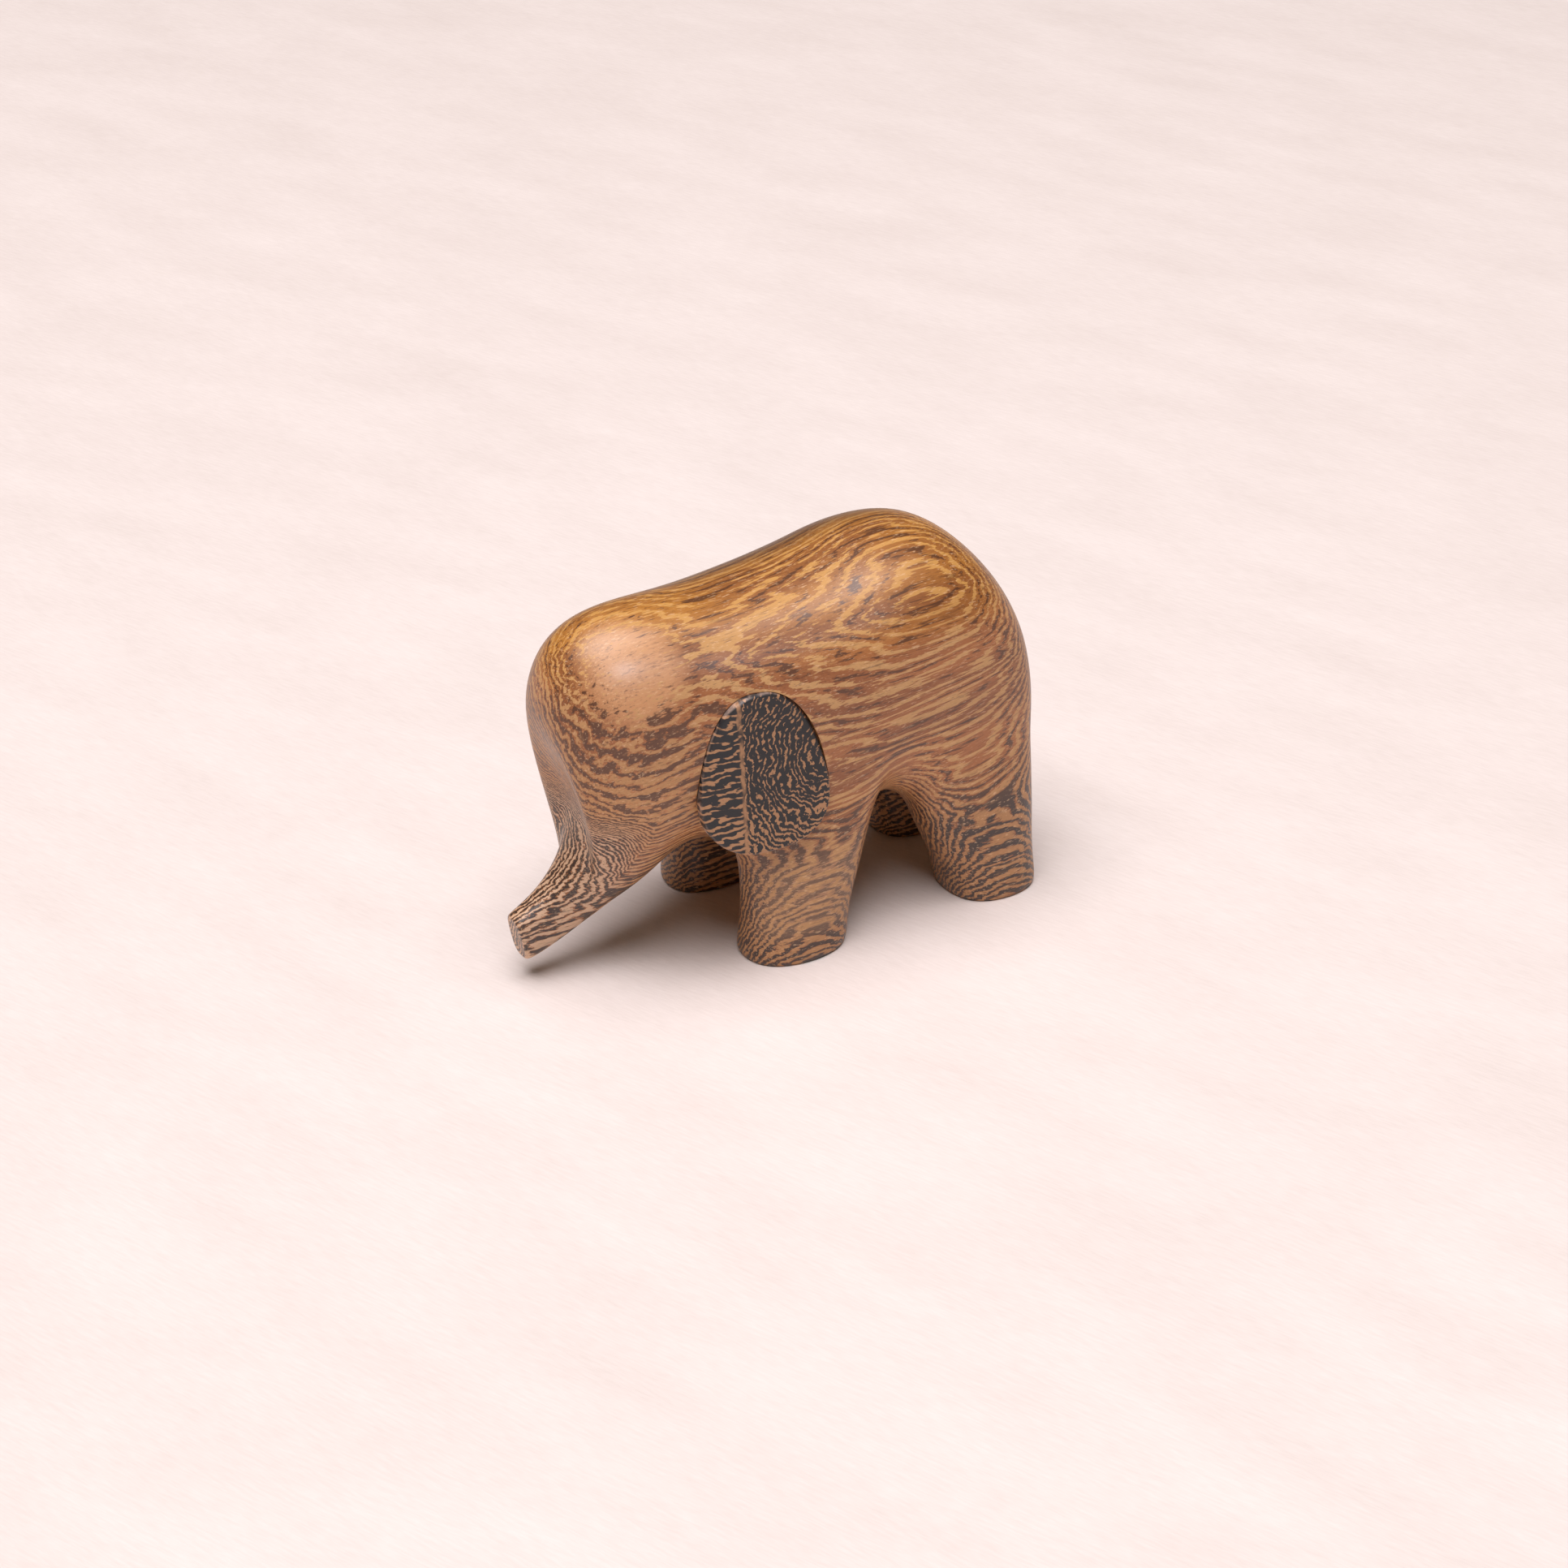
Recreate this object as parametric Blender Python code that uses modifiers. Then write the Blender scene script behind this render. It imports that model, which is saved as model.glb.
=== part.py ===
"""A small carved wooden elephant that stands on four feet, with its head low and its trunk reaching down.

The body, head, trunk and legs are one block of wood. Each ear is a leaf of darker wood, glued into a flat
seat that is cut into the side of the head. The head points along -X, the left side is -Y, and the soles
stand on z = 0. Everything is in metres.
"""

from collections import namedtuple
from math import atan2, cos, pi, radians, tan

import bmesh
import bpy
import numpy as np
from mathutils import Matrix, Vector

MM = 0.001

# Overall sizes of the block.
BACK_HEIGHT = 66.0 * MM  # top of the back over the table
BELLY_HEIGHT = 19.5 * MM  # underside of the belly over the table
BODY_WIDTH = 38.0 * MM  # across the flanks, at the fattest part of the belly
HEAD_WIDTH = 28.0 * MM
RUMP_X = 47.4 * MM  # the hindmost point
BROW_X = -41.7 * MM  # the foremost point of the forehead
NECK_X = -18.6 * MM  # where the head meets the shoulders

# Trunk. It is a slab, much taller than it is wide, with its end sawn off square.
TRUNK_WIDTH = 5.4 * MM  # across the tip
TIP_TOP = Vector((-46.7, 0.0, 12.0)) * MM
TIP_BOTTOM = Vector((-45.1, 0.0, 3.8)) * MM
TRUNK_ROOT = Vector((-33.5, 0.0, 28.0)) * MM  # the hollow between the forehead and the trunk
TRUNK_HOLLOW = 4.2 * MM  # how far the trunk's top, from root to tip, hangs below a straight line
CHIN_HEIGHT = 20.5 * MM  # underside of the head over the table, at the neck
CHIN_SAG = 2.5 * MM  # how far the underside, from neck to tip, hangs below a straight line

# Legs. Each one widens towards the belly, so its thigh is longer than its foot. Fronts and backs are X. Inner
# and outer are from the middle of the body. A corner's squareness is 2 for an ellipse, and 5 is nearly sharp.
Leg = namedtuple("Leg", "foot_front foot_back thigh_front thigh_back inner outer inner_corner outer_corner")
FRONT_LEG = Leg(
    foot_front=-10.9 * MM, foot_back=7.5 * MM,
    thigh_front=-11.1 * MM, thigh_back=13.4 * MM,
    inner=7.0 * MM, outer=20.3 * MM,
    inner_corner=3.8, outer_corner=2.4,
)
REAR_LEG = Leg(
    foot_front=29.2 * MM, foot_back=45.3 * MM,
    thigh_front=19.7 * MM, thigh_back=45.5 * MM,
    inner=5.0 * MM, outer=20.0 * MM,
    inner_corner=5.0, outer_corner=2.8,
)
LEG_WAIST = 0.7 * MM  # how far each side of a leg draws in between thigh and foot
KNEE_HEIGHT = 14.0 * MM
SHIN_HEIGHT = 7.0 * MM
SOLE_HEIGHT = 1.0 * MM  # where a leg has its full size again, just over the table
LEG_FLARE = 1.5  # how suddenly a leg widens below the belly: 1 is a straight taper

# Squareness of the sections: 2 is an ellipse, and more is boxier.
TORSO_SQUARENESS = 2.5
HEAD_SQUARENESS = 2.25
TIP_SQUARENESS = 3.2

# Ears. Each is a leaf with a flat back, and a face of two facets that slope away from an upright ridge.
EAR_WIDTH = 21.4 * MM
EAR_HEIGHT = 27.6 * MM
EAR_THICKNESS = 3.9 * MM  # at the ridge
EAR_TAPER = 0.24  # share by which the leaf narrows towards its top, and widens towards its bottom
EAR_RAKE = 0.05  # how far the top leans forward, for each unit of height
EAR_CORNER = 2.5  # squareness of the outline
EAR_CENTRE_X = -8.75 * MM
EAR_BELOW_MIDDLE = 6.3 * MM  # from halfway between the belly and the back, down to the ear's middle
EAR_LEAN = radians(7.0)  # how far the ear's top leans in towards the head
EAR_RIDGE = -4.3 * MM  # from the leaf's middle to the ridge
EAR_FRONT_SLOPE = radians(15.0)  # from the ridge down to the front edge
EAR_REAR_SLOPE = radians(8.0)  # from the ridge down to the rear edge
EAR_EDGE = 0.6 * MM  # rounding of the outer rim
SEAT_FRONT_DEPTH = 0.8 * MM  # from the head's width in to the seat, at the ear's front edge
SEAT_REAR_DEPTH = 2.8 * MM  # from the flank's width in to the seat, at the ear's rear edge
GLUE_GAP = 0.3 * MM  # all round an ear, between it and its seat

# How the shapes are divided.
SECTION_POINTS = 16  # cage points round a section of the body
LEG_POINTS = 8  # cage points round a leg
OUTLINE_POINTS = 40  # points round an ear
SUBDIVISIONS = 2
KEPT_FACES = 0.5  # share of the subdivided faces that the block keeps
WELD = 0.1 * MM  # points nearer than this are one
SAW_WASTE = 3.0 * MM  # how far the cage runs past a sawn end
SHARP_EDGE = radians(30.0)  # an edge that turns by more than this is shaded sharp
REAR_LEG_SECTION, FRONT_LEG_SECTION = 2, 6  # the first of the three sections over each leg
LEFT_SOCKET, RIGHT_SOCKET = 5, 9  # the first of the three section points that a leg grows from

WALNUT = (0.36, 0.19, 0.09, 1.0)
WALNUT_ROUGHNESS = 0.45
DARK_HEARTWOOD = (0.07, 0.045, 0.035, 1.0)
DARK_ROUGHNESS = 0.4

Section = namedtuple("Section", "top bottom half_width squareness")


def superellipse(angle, squareness):
    """Cosine and sine of the angles, pushed out towards a square's corners: 2 gives an ellipse."""
    power = 2 / squareness
    across, up = np.cos(angle), np.sin(angle)
    return np.sign(across) * np.abs(across) ** power, np.sign(up) * np.abs(up) ** power


def cage_spread(points_round):
    """How far a ring of cage points lies outside its subdivided surface, as a factor."""
    return 1 / (2 / 3 + cos(2 * pi / points_round) / 3)


def section_ring(section):
    """Cage points round a section, from its top down the left side, under it and up the right side."""
    angle = np.arange(SECTION_POINTS) * 2 * pi / SECTION_POINTS
    up, out = superellipse(angle, section.squareness)
    centre = np.array((section.top + section.bottom) / 2)
    rise = np.array((section.top - section.bottom) / 2) * cage_spread(SECTION_POINTS)
    side = np.array((0.0, -section.half_width * cage_spread(SECTION_POINTS), 0.0))
    return centre + np.outer(up, rise) + np.outer(out, side)


def tip_normal():
    """The direction that the sawn end of the trunk faces."""
    return (TIP_TOP - TIP_BOTTOM).cross(Vector((0, 1, 0))).normalized()


def underside(share):
    """A point of the underside of the head and trunk: share is 0 at the neck and 1 at the tip."""
    neck = Vector((NECK_X, 0, CHIN_HEIGHT))
    return neck.lerp(TIP_BOTTOM, share) - Vector((0, 0, CHIN_SAG * 4 * share * (1 - share)))


def body_sections():
    """Sections from the rump to beyond the trunk's tip. Over each leg stand three: back, middle and front."""

    def torso(top_x, drop, bottom_x, rise, half_width):
        """drop is from the back's height, rise is from the belly's."""
        top = Vector((top_x, 0, BACK_HEIGHT - drop))
        bottom = Vector((bottom_x, 0, BELLY_HEIGHT + rise))
        return Section(top, bottom, half_width, TORSO_SQUARENESS)

    def head(behind_brow, drop, share, half_width):
        """share is how far along the underside, from neck to tip, the section's foot stands."""
        top = Vector((BROW_X + behind_brow, 0, BACK_HEIGHT - drop))
        return Section(top, underside(share), half_width, HEAD_SQUARENESS)

    def trunk(top, share, half_width, squareness):
        return Section(top, underside(share), half_width, squareness)

    flank, cheek, nose = BODY_WIDTH / 2, HEAD_WIDTH / 2, TRUNK_WIDTH / 2
    thigh = (REAR_LEG.thigh_front + REAR_LEG.thigh_back) / 2
    waist = (FRONT_LEG.thigh_back + REAR_LEG.thigh_front) / 2
    shoulder = (FRONT_LEG.thigh_front + FRONT_LEG.thigh_back) / 2
    hollow = Vector((0, 0, TRUNK_HOLLOW))
    waste = tip_normal() * SAW_WASTE
    return [
        # Rump, from its hindmost point to the back of the rear legs.
        torso(RUMP_X - 0.8 * MM, 25.5 * MM, RUMP_X - 0.6 * MM, 13.0 * MM, flank - 11.0 * MM),
        torso(RUMP_X - 3.2 * MM, 17.0 * MM, RUMP_X - 1.6 * MM, 3.0 * MM, flank - 6.5 * MM),
        torso(RUMP_X - 7.5 * MM, 8.8 * MM, REAR_LEG.thigh_back, 0.0, flank - 2.5 * MM),
        torso(thigh + 0.5 * MM, 2.2 * MM, thigh, 0.0, flank - 0.5 * MM),
        torso(REAR_LEG.thigh_front + 5.5 * MM, 0.0, REAR_LEG.thigh_front, 0.0, flank),
        # Belly and shoulders, to the front of the front legs.
        torso(waist, 0.5 * MM, waist, 1.0 * MM, flank),
        torso(FRONT_LEG.thigh_back - 3.0 * MM, 2.2 * MM, FRONT_LEG.thigh_back, 0.0, flank),
        torso(shoulder - 1.0 * MM, 3.6 * MM, shoulder, 0.0, flank - 1.0 * MM),
        torso(FRONT_LEG.thigh_front, 4.3 * MM, FRONT_LEG.thigh_front, 0.0, cheek + 2.5 * MM),
        # Head, from the neck round the forehead to the root of the trunk.
        head(NECK_X - BROW_X, 3.3 * MM, 0.0, cheek + 0.7 * MM),
        head(12.0 * MM, 3.0 * MM, 0.22, cheek),
        head(3.8 * MM, 6.6 * MM, 0.34, cheek - 2.0 * MM),
        head(0.0, 15.8 * MM, 0.43, cheek - 4.8 * MM),
        head(3.0 * MM, 25.5 * MM, 0.50, cheek - 6.4 * MM),
        head(6.6 * MM, 32.3 * MM, 0.585, cheek - 8.2 * MM),
        # Trunk, to beyond its sawn tip.
        trunk(TRUNK_ROOT, 0.68, nose + 1.9 * MM, 2.4),
        trunk(TRUNK_ROOT.lerp(TIP_TOP, 0.2) - hollow, 0.795, nose + 1.0 * MM, 2.6),
        trunk(TRUNK_ROOT.lerp(TIP_TOP, 0.55) - hollow, 0.905, nose + 0.4 * MM, 2.9),
        Section(TIP_TOP, TIP_BOTTOM, nose, TIP_SQUARENESS),
        Section(TIP_TOP + waste, TIP_BOTTOM + waste, nose, TIP_SQUARENESS),
    ]


def leg_rings(leg, side):
    """Cage rings down a leg, from its thigh to below the table. side is -1 for a left leg."""
    angle = pi / 4 - np.arange(LEG_POINTS) * 2 * pi / LEG_POINTS
    along, out = superellipse(angle, np.where(np.sin(angle) > 0, leg.outer_corner, leg.inner_corner))
    spread = cage_spread(LEG_POINTS)
    rings = []
    stations = ((KNEE_HEIGHT, LEG_WAIST), (SHIN_HEIGHT, LEG_WAIST), (SOLE_HEIGHT, 0.0), (-SAW_WASTE, 0.0))
    for height, drawn_in in stations:
        flare = max(height / BELLY_HEIGHT, 0) ** LEG_FLARE
        front = leg.foot_front + (leg.thigh_front - leg.foot_front) * flare + drawn_in
        back = leg.foot_back + (leg.thigh_back - leg.foot_back) * flare - drawn_in
        inner, outer = leg.inner + drawn_in, leg.outer - drawn_in
        x = (front + back) / 2 + along * (back - front) / 2 * spread
        y = (inner + outer) / 2 + out * (outer - inner) / 2 * spread
        rings.append(np.column_stack((x, side * y, np.full(LEG_POINTS, height))))
    return rings


def socket_edge(first_section, first_point, side):
    """The (section, ring point) pairs round a leg's socket, from its back outer corner in to the belly."""
    outer, inner = (first_point, first_point + 2) if side < 0 else (first_point + 2, first_point)
    middle = first_point + 1
    back, half, front = first_section, first_section + 1, first_section + 2
    return [
        (back, outer), (back, middle), (back, inner), (half, inner),
        (front, inner), (front, middle), (front, outer), (half, outer),
    ]


def band(mesh, upper, lower):
    """Faces between two closed loops of as many points."""
    for i in range(len(upper)):
        after = (i + 1) % len(upper)
        mesh.faces.new((upper[i], upper[after], lower[after], lower[i]))


def end_cap(mesh, ring):
    """Closes a ring of the body with strips from its left side to its right."""
    count = len(ring)
    mesh.faces.new((ring[0], ring[1], ring[-1]))
    for i in range(1, count // 2 - 1):
        mesh.faces.new((ring[i], ring[i + 1], ring[count - i - 1], ring[count - i]))
    mesh.faces.new((ring[count // 2 - 1], ring[count // 2], ring[count // 2 + 1]))


def body_cage():
    """The coarse cage of the block: a loft of sections, and four legs that grow out of its underside."""
    mesh = bmesh.new()
    rings = [[mesh.verts.new(point) for point in section_ring(section)] for section in body_sections()]
    legs = [
        (leg, first_section, first_point, side)
        for leg, first_section in ((FRONT_LEG, FRONT_LEG_SECTION), (REAR_LEG, REAR_LEG_SECTION))
        for first_point, side in ((LEFT_SOCKET, -1), (RIGHT_SOCKET, 1))
    ]
    open_faces = {
        (first_section + i, first_point + j)
        for _, first_section, first_point, _ in legs
        for i in range(2)
        for j in range(2)
    }
    for i in range(len(rings) - 1):
        for j in range(SECTION_POINTS):
            if (i, j) not in open_faces:
                after = (j + 1) % SECTION_POINTS
                mesh.faces.new((rings[i][j], rings[i][after], rings[i + 1][after], rings[i + 1][j]))
    end_cap(mesh, rings[0])
    end_cap(mesh, rings[-1])
    for leg, first_section, first_point, side in legs:
        loop = [rings[i][j] for i, j in socket_edge(first_section, first_point, side)]
        for points in leg_rings(leg, side):
            lower = [mesh.verts.new(point) for point in points]
            band(mesh, loop, lower)
            loop = lower
        mesh.faces.new(loop)
        mesh.verts.remove(rings[first_section + 1][first_point + 1])
    bmesh.ops.recalc_face_normals(mesh, faces=mesh.faces)
    return mesh


def wood(name, colour, roughness):
    material = bpy.data.materials.new(name)
    material.use_nodes = True
    shader = material.node_tree.nodes["Principled BSDF"]
    shader.inputs["Base Color"].default_value = colour
    shader.inputs["Roughness"].default_value = roughness
    shader.inputs["Metallic"].default_value = 0.0
    return material


def new_object(name, data, collection, material=None):
    """An object in its collection. One with no material is a cutter, which isn't rendered."""
    made = bpy.data.objects.new(name, data)
    collection.objects.link(made)
    if material:
        data.materials.append(material)
    else:
        made.hide_render = True
        made.display_type = "WIRE"
    return made


def cut(target, cutter):
    modifier = target.modifiers.new(cutter.name, "BOOLEAN")
    modifier.operation = "DIFFERENCE"
    modifier.solver = "EXACT"
    modifier.object = cutter


def box_cutter(name, size, place, collection):
    """A cube that is centred in X and Y on its frame, and lies on the frame's +Z side."""
    mesh = bmesh.new()
    bmesh.ops.create_cube(mesh, size=size, matrix=place @ Matrix.Translation((0, 0, size / 2)))
    bmesh.ops.recalc_face_normals(mesh, faces=mesh.faces)
    data = bpy.data.meshes.new(name)
    mesh.to_mesh(data)
    mesh.free()
    return new_object(name, data, collection)


def ear_frame(side):
    """The ear's frame: X back along the head, Y up, Z out of the head, at the middle of the seat's floor.

    The floor runs from inside the cheek, at the ear's front edge, to inside the flank, at its rear edge. It
    leans in at the top, as the head does.
    """
    front_y = HEAD_WIDTH / 2 - SEAT_FRONT_DEPTH
    rear_y = BODY_WIDTH / 2 - SEAT_REAR_DEPTH
    toe_in = atan2(rear_y - front_y, EAR_WIDTH)
    height = (BACK_HEIGHT + BELLY_HEIGHT) / 2 - EAR_BELOW_MIDDLE
    middle = Matrix.Translation((EAR_CENTRE_X, -(front_y + rear_y) / 2, height))
    left = middle @ Matrix.Rotation(-toe_in, 4, "Z") @ Matrix.Rotation(pi / 2 - EAR_LEAN, 4, "X")
    return left if side < 0 else Matrix.Scale(-1, 4, (0, 1, 0)) @ left


def ear_outline(grow):
    """The leaf's outline, grown by a clearance: an egg shape, narrower at its top, leaning forward."""
    angle = np.arange(OUTLINE_POINTS) * 2 * pi / OUTLINE_POINTS
    across, up = superellipse(angle, EAR_CORNER)
    y = up * (EAR_HEIGHT / 2 + grow)
    x = across * (EAR_WIDTH / 2 + grow) * (1 - EAR_TAPER * up) - EAR_RAKE * y
    return np.column_stack((x, y))


def extruded_leaf(low, high, grow=0.0):
    """The outline, pulled from low to high along the ear's Z."""
    curve = bpy.data.curves.new("leaf_outline", "CURVE")
    curve.dimensions = "2D"
    curve.fill_mode = "BOTH"
    curve.extrude = (high - low) / 2
    outline = ear_outline(grow)
    spline = curve.splines.new("POLY")
    spline.points.add(len(outline) - 1)
    for point, (x, y) in zip(spline.points, outline):
        point.co = (x, y, 0, 1)
    spline.use_cyclic_u = True
    shape = bpy.data.objects.new("leaf_outline", curve)
    bpy.context.scene.collection.objects.link(shape)
    flat = bpy.data.meshes.new_from_object(shape.evaluated_get(bpy.context.evaluated_depsgraph_get()))
    bpy.data.objects.remove(shape)
    mesh = bmesh.new()
    mesh.from_mesh(flat)
    bpy.data.meshes.remove(flat)
    bmesh.ops.remove_doubles(mesh, verts=mesh.verts, dist=WELD)
    bmesh.ops.dissolve_limit(mesh, angle_limit=radians(1), verts=mesh.verts, edges=mesh.edges)
    bmesh.ops.translate(mesh, verts=mesh.verts, vec=(0, 0, (low + high) / 2))
    return mesh


def carve_facets(mesh, top):
    """Rounds the leaf's outer rim, then slopes its flat top down to both sides of the ridge."""
    rim = [
        edge for edge in mesh.edges
        if min(vert.co.z for vert in edge.verts) > top - WELD
        and any(abs(face.normal.z) < cos(EAR_FRONT_SLOPE) for face in edge.link_faces)
    ]
    bmesh.ops.bevel(mesh, geom=rim, offset=EAR_EDGE, segments=2, profile=0.5, affect="EDGES")
    everything = mesh.verts[:] + mesh.edges[:] + mesh.faces[:]
    bmesh.ops.bisect_plane(mesh, geom=everything, plane_co=(EAR_RIDGE, 0, 0), plane_no=(1, 0, 0), dist=WELD)
    for vert in mesh.verts:
        if vert.co.z > top / 2:
            run = vert.co.x - EAR_RIDGE
            vert.co.z -= abs(run) * tan(EAR_REAR_SLOPE if run > 0 else EAR_FRONT_SLOPE)


def placed(mesh, name, place):
    """The mesh moved from the ear's frame to its place, as mesh data."""
    bmesh.ops.transform(mesh, verts=mesh.verts, matrix=place)
    bmesh.ops.recalc_face_normals(mesh, faces=mesh.faces)
    data = bpy.data.meshes.new(name)
    mesh.to_mesh(data)
    mesh.free()
    data.shade_smooth()
    return data


def build_body(parts, cutters):
    mesh = body_cage()
    data = bpy.data.meshes.new("body")
    mesh.to_mesh(data)
    mesh.free()
    data.shade_smooth()
    body = new_object("body", data, parts, wood("carved_block", WALNUT, WALNUT_ROUGHNESS))
    smooth = body.modifiers.new("rounded_form", "SUBSURF")
    smooth.levels = smooth.render_levels = SUBDIVISIONS
    fewer = body.modifiers.new("fewer_faces", "DECIMATE")
    fewer.ratio = KEPT_FACES
    table = Matrix.Rotation(pi, 4, "X")
    cut(body, box_cutter("sole_saw", 4 * (RUMP_X - TIP_TOP.x), table, cutters))
    facing = tip_normal().to_track_quat("Z", "Y").to_matrix().to_4x4()
    tip = Matrix.Translation((TIP_TOP + TIP_BOTTOM) / 2) @ facing
    cut(body, box_cutter("tip_saw", 2 * (TIP_TOP - TIP_BOTTOM).length, tip, cutters))
    return body


def build_ear(name, side, body, parts, cutters):
    """An ear, and its seat in the body."""
    place = ear_frame(side)
    seat = placed(extruded_leaf(0.0, BODY_WIDTH / 2, GLUE_GAP), name + "_seat", place)
    cut(body, new_object(name + "_seat", seat, cutters))
    top = GLUE_GAP + EAR_THICKNESS
    leaf = extruded_leaf(GLUE_GAP, top)
    carve_facets(leaf, top)
    data = placed(leaf, name, place)
    data.set_sharp_from_angle(angle=SHARP_EDGE)
    new_object(name, data, parts, wood(name + "_wood", DARK_HEARTWOOD, DARK_ROUGHNESS))


def main():
    for stale in list(bpy.data.objects):
        bpy.data.objects.remove(stale)
    parts = bpy.data.collections.new("carved_elephant")
    cutters = bpy.data.collections.new("cutters")
    bpy.context.scene.collection.children.link(parts)
    bpy.context.scene.collection.children.link(cutters)
    body = build_body(parts, cutters)
    build_ear("ear_left", -1, body, parts, cutters)
    build_ear("ear_right", 1, body, parts, cutters)


main()
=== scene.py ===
"""A small carved wooden elephant: one block of figured wood, and two ears of darker wood let into its head.

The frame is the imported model. The head points along -X, the left side is -Y, and the soles stand on z = 0.
"""

from math import atan2, cos, pi, radians, sin, tan
from types import SimpleNamespace

import bmesh
import bpy
import numpy as np
from mathutils import Matrix, Vector


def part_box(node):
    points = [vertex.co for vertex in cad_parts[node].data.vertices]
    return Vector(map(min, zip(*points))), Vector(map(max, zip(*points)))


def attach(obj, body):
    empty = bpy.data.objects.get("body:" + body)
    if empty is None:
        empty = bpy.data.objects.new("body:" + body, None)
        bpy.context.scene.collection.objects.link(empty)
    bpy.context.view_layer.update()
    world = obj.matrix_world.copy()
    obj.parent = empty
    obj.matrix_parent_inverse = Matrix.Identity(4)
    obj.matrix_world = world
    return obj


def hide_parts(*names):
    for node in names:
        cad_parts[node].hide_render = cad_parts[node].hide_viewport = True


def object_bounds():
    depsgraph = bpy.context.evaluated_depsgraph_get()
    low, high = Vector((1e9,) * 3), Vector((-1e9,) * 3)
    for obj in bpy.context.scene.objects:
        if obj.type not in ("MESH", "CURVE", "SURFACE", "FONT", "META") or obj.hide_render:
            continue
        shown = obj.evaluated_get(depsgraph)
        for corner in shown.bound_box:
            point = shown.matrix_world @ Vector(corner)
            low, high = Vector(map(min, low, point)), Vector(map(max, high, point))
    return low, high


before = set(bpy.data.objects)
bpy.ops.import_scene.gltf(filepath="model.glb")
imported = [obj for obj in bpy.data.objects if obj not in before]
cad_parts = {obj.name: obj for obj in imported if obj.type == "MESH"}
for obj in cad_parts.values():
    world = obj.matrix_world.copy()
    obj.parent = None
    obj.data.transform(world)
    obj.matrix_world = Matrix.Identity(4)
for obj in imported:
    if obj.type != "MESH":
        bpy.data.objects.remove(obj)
cad_low, cad_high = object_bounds()

# ------------------------------------------------------------------------------------------------------
# The block. Head, trunk, body and legs are carved from one piece of wood, sanded smooth and waxed. The form
# is a loft of rounded sections, from the rump to the sawn tip of the trunk, with a leg drawn out of each of
# four places underneath. Sizes are in millimetres until the mesh is made.

MM = 0.001
BACK, BELLY = 66.0, 19.5
FLANK, CHEEK, NOSE = 19.0, 14.0, 2.7
RUMP_X, BROW_X, NECK_X = 47.4, -41.7, -18.6
TIP_TOP, TIP_BOTTOM = np.array((-46.7, 12.0)), np.array((-45.1, 3.8))
TRUNK_ROOT = np.array((-33.5, 28.0))
FRONT_LEG = dict(foot=(-10.9, 7.5), thigh=(-11.1, 13.4), across=(7.0, 20.3), corners=(3.8, 2.4))
REAR_LEG = dict(foot=(29.2, 45.3), thigh=(19.7, 45.5), across=(5.0, 20.0), corners=(5.0, 2.8))
ROUND_BODY, ROUND_LEG = 16, 8
REAR_SECTION, FRONT_SECTION = 2, 6
LEFT_SOCKET, RIGHT_SOCKET = 5, 9


def superellipse(angle, squareness):
    """Cosine and sine to the power 2 / squareness, with their signs kept: 2 is round, and more is boxier."""
    power = 2 / squareness
    across, up = np.cos(angle), np.sin(angle)
    return np.sign(across) * np.abs(across) ** power, np.sign(up) * np.abs(up) ** power


def cage_spread(points_round):
    """How far a ring of cage points lies outside its smooth surface: 1 / (2/3 + cosine(one step) / 3)."""
    return 1 / (2 / 3 + cos(2 * pi / points_round) / 3)


def underside(share):
    """The line under the head and trunk: straight from neck to tip, less a parabola that sags 2.5 mm."""
    start = np.array((NECK_X, 20.5))
    return start + (TIP_BOTTOM - start) * share - np.array((0, 10.0 * share * (1 - share)))


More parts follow.
